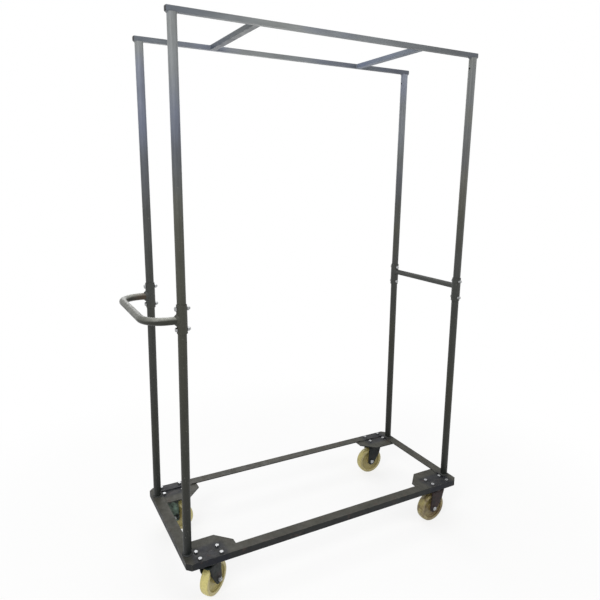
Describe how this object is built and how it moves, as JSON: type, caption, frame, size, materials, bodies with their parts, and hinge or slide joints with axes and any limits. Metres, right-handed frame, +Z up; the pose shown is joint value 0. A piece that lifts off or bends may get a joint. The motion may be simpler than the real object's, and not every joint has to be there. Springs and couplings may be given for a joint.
{
  "type": "stacking chair trolley",
  "caption": "Tall open trolley on swivel castors for stacked chairs, with an angle iron base, bolted tube posts, square top rails, a push handle and an end crossbar.",
  "frame": {"origin": "on the floor, at the middle of the bounding box in plan", "axes": "+X along the trolley away from the push handle, +Y across the trolley to the rear side, +Z up"},
  "size_m": [1.288, 0.525, 1.892],
  "materials": {
    "base_paint": "satin dark olive grey paint, scuffed",
    "post_paint": "satin charcoal paint, scuffed",
    "tube_paint": "satin grey paint, worn",
    "cap_plastic": "matt black moulded plastic",
    "zinc": "bright zinc plate",
    "fork_steel": "dark pressed steel, oily",
    "nylon": "cream moulded nylon, slightly soiled"
  },
  "bodies": {
    "frame": {"side_rail_front": "base_paint", "side_rail_rear": "base_paint", "end_rail_left": "base_paint", "end_rail_right": "base_paint", "corner_plate_front_left": "base_paint", "corner_plate_front_right": "base_paint", "corner_plate_rear_left": "base_paint", "corner_plate_rear_right": "base_paint", "lower_post_front_left": "post_paint", "lower_post_front_right": "post_paint", "lower_post_rear_left": "post_paint", "lower_post_rear_right": "post_paint", "upper_post_front_left": "tube_paint", "upper_post_front_right": "tube_paint", "upper_post_rear_left": "tube_paint", "upper_post_rear_right": "tube_paint", "sleeve_front_left": "post_paint", "sleeve_front_right": "post_paint", "sleeve_rear_left": "post_paint", "sleeve_rear_right": "post_paint", "sleeve_bolts": "zinc", "sleeve_nuts": "zinc", "push_handle": "tube_paint", "end_crossbar": "tube_paint", "top_rail_front": "tube_paint", "top_rail_rear": "tube_paint", "top_brace_left": "tube_paint", "top_brace_right": "tube_paint", "rail_end_caps": "cap_plastic", "castor_bolts": "zinc", "castor_washers": "zinc", "castor_nuts": "zinc", "castor_plate_front_left": "fork_steel", "castor_plate_front_right": "fork_steel", "castor_plate_rear_left": "fork_steel", "castor_plate_rear_right": "fork_steel", "kingpins": "zinc", "swivel_balls": "zinc"},
    "castor_front_left": {"fork_front_left": "fork_steel", "axle_sleeve_front_left": "zinc", "axle_bolt_front_left": "zinc", "axle_nut_front_left": "zinc"},
    "wheel_front_left": {"wheel_front_left": "nylon"},
    "castor_front_right": {"fork_front_right": "fork_steel", "axle_sleeve_front_right": "zinc", "axle_bolt_front_right": "zinc", "axle_nut_front_right": "zinc"},
    "wheel_front_right": {"wheel_front_right": "nylon"},
    "castor_rear_left": {"fork_rear_left": "fork_steel", "axle_sleeve_rear_left": "zinc", "axle_bolt_rear_left": "zinc", "axle_nut_rear_left": "zinc"},
    "wheel_rear_left": {"wheel_rear_left": "nylon"},
    "castor_rear_right": {"fork_rear_right": "fork_steel", "axle_sleeve_rear_right": "zinc", "axle_bolt_rear_right": "zinc", "axle_nut_rear_right": "zinc"},
    "wheel_rear_right": {"wheel_rear_right": "nylon"}
  },
  "joints": [
    {"name": "swivel_front_left", "type": "hinge", "parent": "frame", "child": "castor_front_left", "pos_m": [-0.46096, -0.2255, 0.135], "axis": [0, 0, 1], "continuous": true},
    {"name": "roll_front_left", "type": "hinge", "parent": "castor_front_left", "child": "wheel_front_left", "pos_m": [-0.44155, -0.21139, 0.0625], "axis": [-0.5878, 0.809, 0], "continuous": true},
    {"name": "swivel_front_right", "type": "hinge", "parent": "frame", "child": "castor_front_right", "pos_m": [0.55702, -0.2255, 0.135], "axis": [0, 0, 1], "continuous": true},
    {"name": "roll_front_right", "type": "hinge", "parent": "castor_front_right", "child": "wheel_front_right", "pos_m": [0.53304, -0.22634, 0.0625], "axis": [0.0349, -0.9994, 0], "continuous": true},
    {"name": "swivel_rear_left", "type": "hinge", "parent": "frame", "child": "castor_rear_left", "pos_m": [-0.46096, 0.2255, 0.135], "axis": [0, 0, 1], "continuous": true},
    {"name": "roll_rear_left", "type": "hinge", "parent": "castor_rear_left", "child": "wheel_rear_left", "pos_m": [-0.44399, 0.20853, 0.0625], "axis": [0.7071, 0.7071, 0], "continuous": true},
    {"name": "swivel_rear_right", "type": "hinge", "parent": "frame", "child": "castor_rear_right", "pos_m": [0.55702, 0.2255, 0.135], "axis": [0, 0, 1], "continuous": true},
    {"name": "roll_rear_right", "type": "hinge", "parent": "castor_rear_right", "child": "wheel_rear_right", "pos_m": [0.53304, 0.22634, 0.0625], "axis": [-0.0349, -0.9994, 0], "continuous": true}
  ]
}
